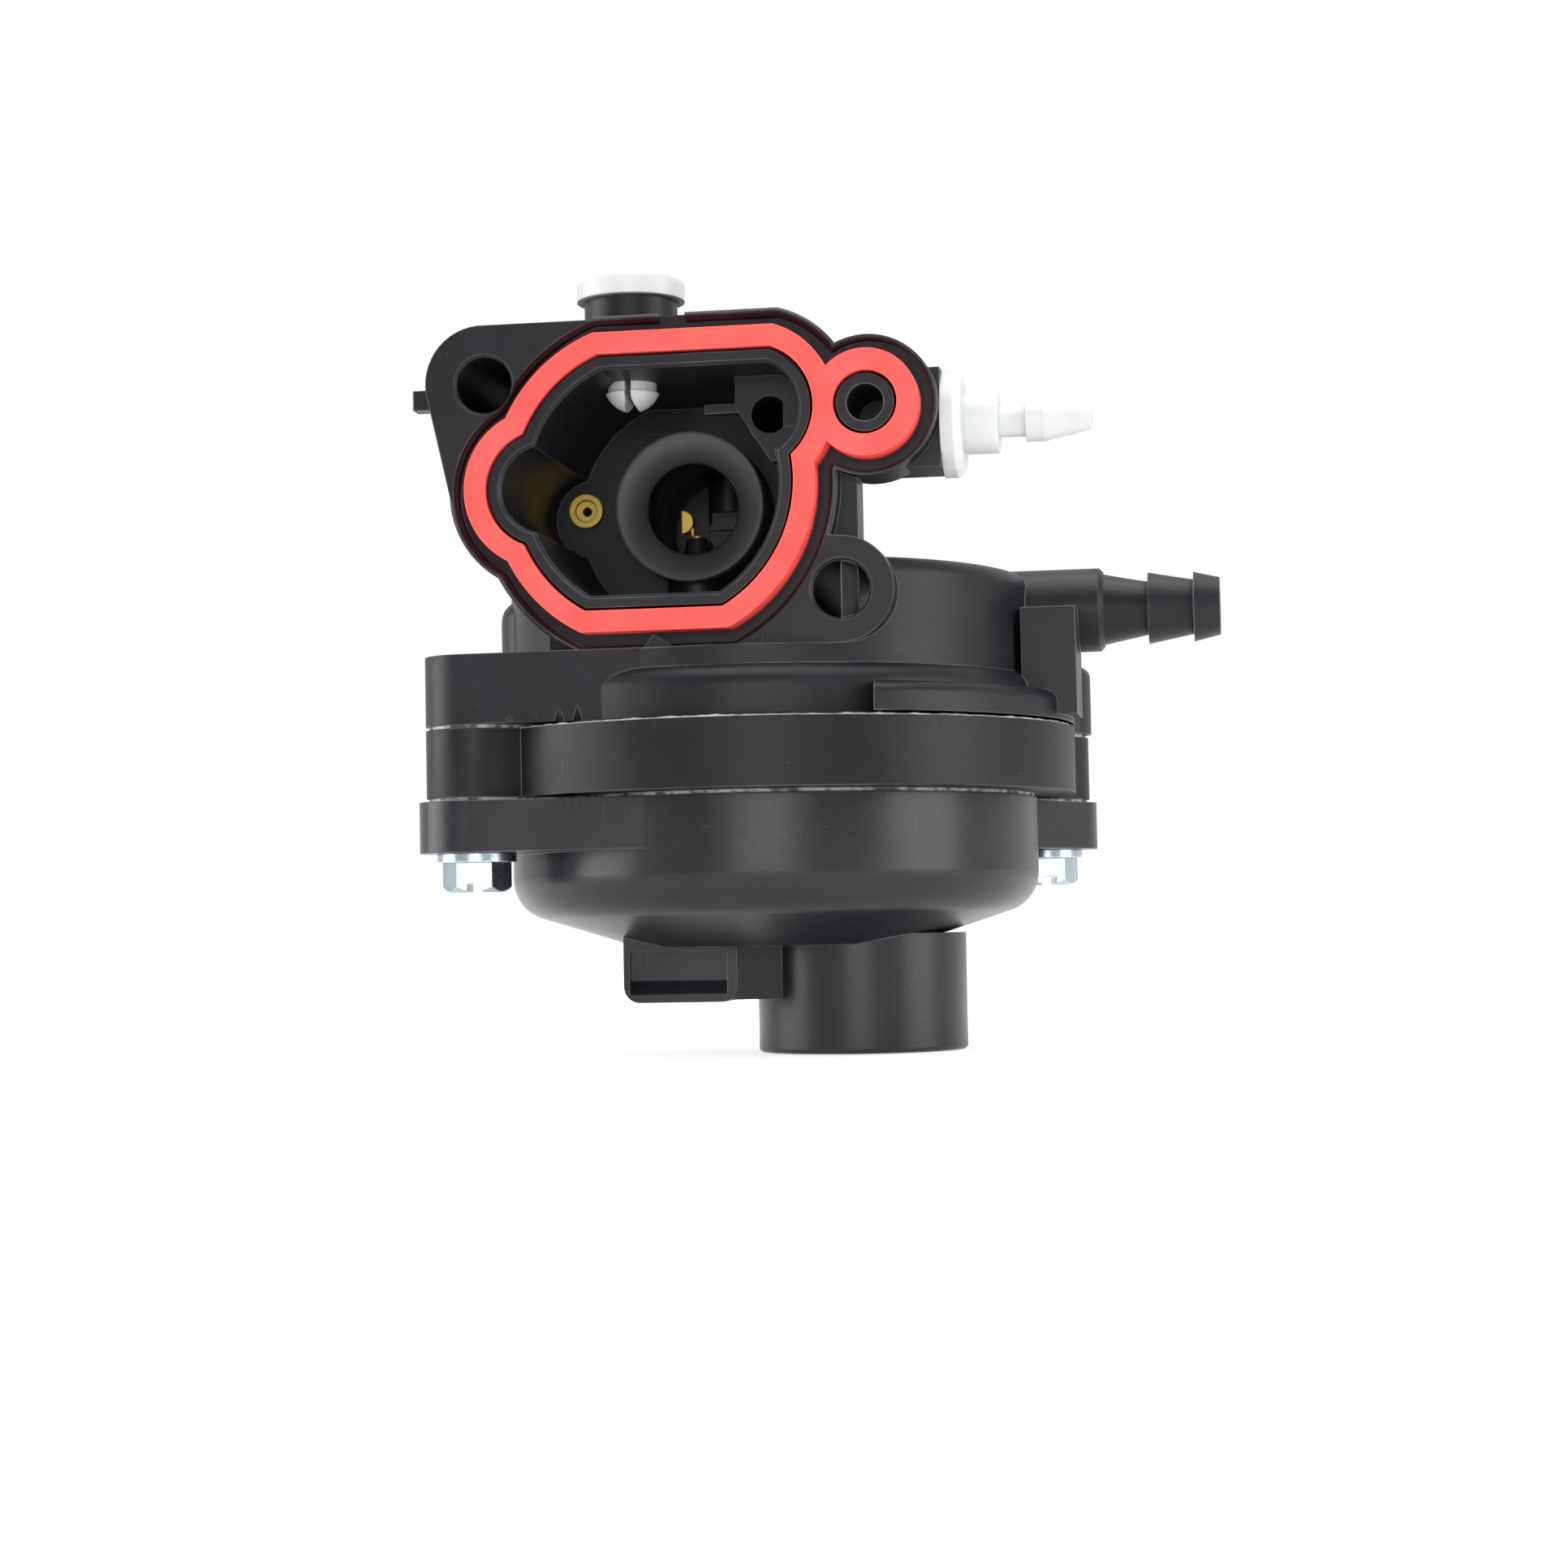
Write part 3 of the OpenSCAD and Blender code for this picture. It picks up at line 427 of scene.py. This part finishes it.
def coil(c):
    bm = bmesh.new()
    bmesh.ops.create_circle(
        bm, cap_ends=False, radius=c["wire"] / 2 * mm, segments=wireRound["sides"])
    bmesh.ops.rotate(
        bm, cent=(0, 0, 0), matrix=Matrix.Rotation(math.pi / 2, 3, "X"), verts=bm.verts)
    bmesh.ops.translate(bm, vec=(c["radius"] * mm, 0, 0), verts=bm.verts)
    first = bm.edges[:]
    steps = round(c["turns"] * wireRound["stepsPerTurn"])
    angle = c["turns"] * 2 * math.pi * c["hand"]
    out = bmesh.ops.spin(
        bm, geom=bm.verts[:] + bm.edges[:], cent=(0, 0, 0), axis=(0, 0, 1), angle=angle,
        steps=steps, dvec=(0, 0, c["rise"] * c["turns"] / steps * mm),
        use_merge=False, use_duplicate=False)
    last = [e for e in out["geom_last"] if isinstance(e, bmesh.types.BMEdge)]
    turned = Matrix.Rotation(angle, 3, "Z")
    loopTail(bm, first, (0, -c["hand"] * c["startLeg"] * mm, 0))
    tail = (0, c["hand"] * wireRound["tail"] * mm, wireRound["tailLift"] * mm)
    loopTail(bm, last, turned @ Vector(tail))
    bmesh.ops.holes_fill(bm, edges=[e for e in bm.edges if e.is_boundary], sides=0)
    return bm


# torsion spring round the throttle boss, on the axis of the throttle
returnSpring = {"wire": 0.8, "radius": 5.8, "turns": 6, "rise": 0.79, "hand": -1, "startLeg": 7,
                "foot": 11.6, "head": 16.4}
foot, head = [jointPlace("throttle_turn") + Vector((0, 0, returnSpring[k] * mm)) for k in ("foot", "head")]
spring = place("returnSpringWire", coil(returnSpring), "springWire",
               Matrix.Translation(foot) @ Matrix.Rotation(math.pi / 2, 4, "Z"))
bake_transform(spring)
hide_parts("throttle_return_spring")

# compression spring under the head of the idle speed screw
idleSpring = {"wire": 0.7, "radius": 2.3, "turns": 5.3, "rise": 0.72, "hand": 1, "startLeg": 0.3,
              "foot": 18.35}
foot = jointPlace("idle_screw_turn")
foot.y = idleSpring["foot"] * mm
spring = place("idleSpringWire", coil(idleSpring), "springWire",
               Matrix.Translation(foot) @ Matrix.Rotation(-math.pi / 2, 4, "X"))
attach(spring, "carburetor")
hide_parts("idle_screw_spring")
print("springs wound")

# painted light: a lighter skin on the bell mouth of the venturi, standing in for the front light on the
# lip;
# it is an arc from the lip to the throat and a straight side, spun round the bore
bellMouth = {"throat": 5, "mouth": 8.3, "lip": 18, "back": 24.5, "skin": 0.03, "wall": 0.25,
             "arc": 78, "arcSteps": 12, "roundSteps": 96}


def mouthSkin(c):
    bm = bmesh.new()
    bend = c["mouth"] - c["throat"]
    top = bm.verts.new((c["mouth"] * mm, (c["lip"] - c["skin"]) * mm, 0))
    bmesh.ops.spin(bm, geom=[top], cent=(c["mouth"] * mm, (c["lip"] + bend) * mm, 0),
                   axis=(0, 0, 1), angle=math.radians(-c["arc"]), steps=c["arcSteps"],
                   use_merge=False, use_duplicate=False)
    rim = min(bm.verts, key=lambda v: v.co.y)
    side = bmesh.ops.extrude_vert_indiv(bm, verts=[rim])["verts"]
    bmesh.ops.translate(bm, vec=(c["skin"] * mm, c["skin"] * mm, 0), verts=side)
    back = bmesh.ops.extrude_vert_indiv(bm, verts=side)["verts"]
    bmesh.ops.translate(bm, vec=(0, (c["back"] - c["lip"]) * mm, 0), verts=back)
    bmesh.ops.spin(bm, geom=bm.verts[:] + bm.edges[:], cent=(0, 0, 0), axis=(0, 1, 0),
                   angle=math.radians(360), steps=c["roundSteps"],
                   use_merge=True, use_duplicate=False)
    bmesh.ops.remove_doubles(bm, verts=bm.verts, dist=0.001 * mm)
    bmesh.ops.recalc_face_normals(bm, faces=bm.faces)
    lipFace = min(bm.faces, key=lambda q: q.calc_center_median().y)
    inward = 1 if lipFace.normal.y < 0 else -1
    bmesh.ops.solidify(bm, geom=bm.faces[:], thickness=inward * c["wall"] * mm)
    return bm


skin = place("venturiMouthSkin", mouthSkin(bellMouth), "lipPaintedLight")
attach(skin, "carburetor")
print("venturi mouth skinned")

# ragged moulding fins along the seams of the chamber, pale in patches as painted glints: a three-sided
# bead spun round its centre, which reaches out and up by the shares of its size in "hem"
seamRags = {"waves": 900, "octaves": 3, "least": 0.8, "swing": 0.45, "stepsPerDegree": 2, "rooted": 0.2}
seams = [
    {"name": "upperSeamFinGlint", "radius": 33.96, "level": -25.04, "size": 0.2,
     "from": 206, "to": 352, "hem": (0.7, 1.1), "seed": 3},
    {"name": "lowerSeamFinGlint", "radius": 29.7, "level": -32.36, "size": 0.16,
     "from": 175, "to": 380, "hem": (0.5, -0.4), "seed": 8},
]


def seamFinGlint(c):
    bm = bmesh.new()
    r = c["radius"] * mm
    z = c["level"] * mm
    w = c["size"] * mm
    out, up = c["hem"]
    corners = ((r, 0, z), (r + w * out, 0, z), (r, 0, z + w * up))
    root, tip, top = [bm.verts.new(v) for v in corners]
    for pair in ((root, tip), (tip, top), (top, root)):
        bm.edges.new(pair)
    start = Matrix.Rotation(math.radians(c["from"]), 3, "Z")
    bmesh.ops.rotate(bm, cent=(0, 0, 0), matrix=start, verts=bm.verts)
    span = c["to"] - c["from"]
    bmesh.ops.spin(bm, geom=bm.verts[:] + bm.edges[:], cent=(0, 0, 0), axis=(0, 0, 1),
                   angle=math.radians(span), steps=span * seamRags["stepsPerDegree"],
                   use_merge=False, use_duplicate=False)
    bmesh.ops.holes_fill(bm, edges=[e for e in bm.edges if e.is_boundary], sides=0)
    for v in bm.verts:
        reach = math.hypot(v.co.x, v.co.y) - r
        if max(reach, abs(v.co.z - z)) > w * seamRags["rooted"]:
            spot = v.co * seamRags["waves"] + Vector((c["seed"], 0, 0))
            k = seamRags["least"] + seamRags["swing"] * turbulence(spot, seamRags["octaves"], False)
            flat = Vector((v.co.x, v.co.y, 0)).normalized()
            v.co = flat * (r + reach * k) + Vector((0, 0, z + (v.co.z - z) * k))
    return bm


ringLow, ringHigh = [Vector(v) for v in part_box("float_chamber_ring")]
ringMiddle = (ringLow + ringHigh) / 2
for c in seams:
    fin = place(c["name"], seamFinGlint(c), "seamFinGlint", Matrix.Translation((ringMiddle.x, ringMiddle.y, 0)))
    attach(fin, "carburetor")
print("seam fins raised")
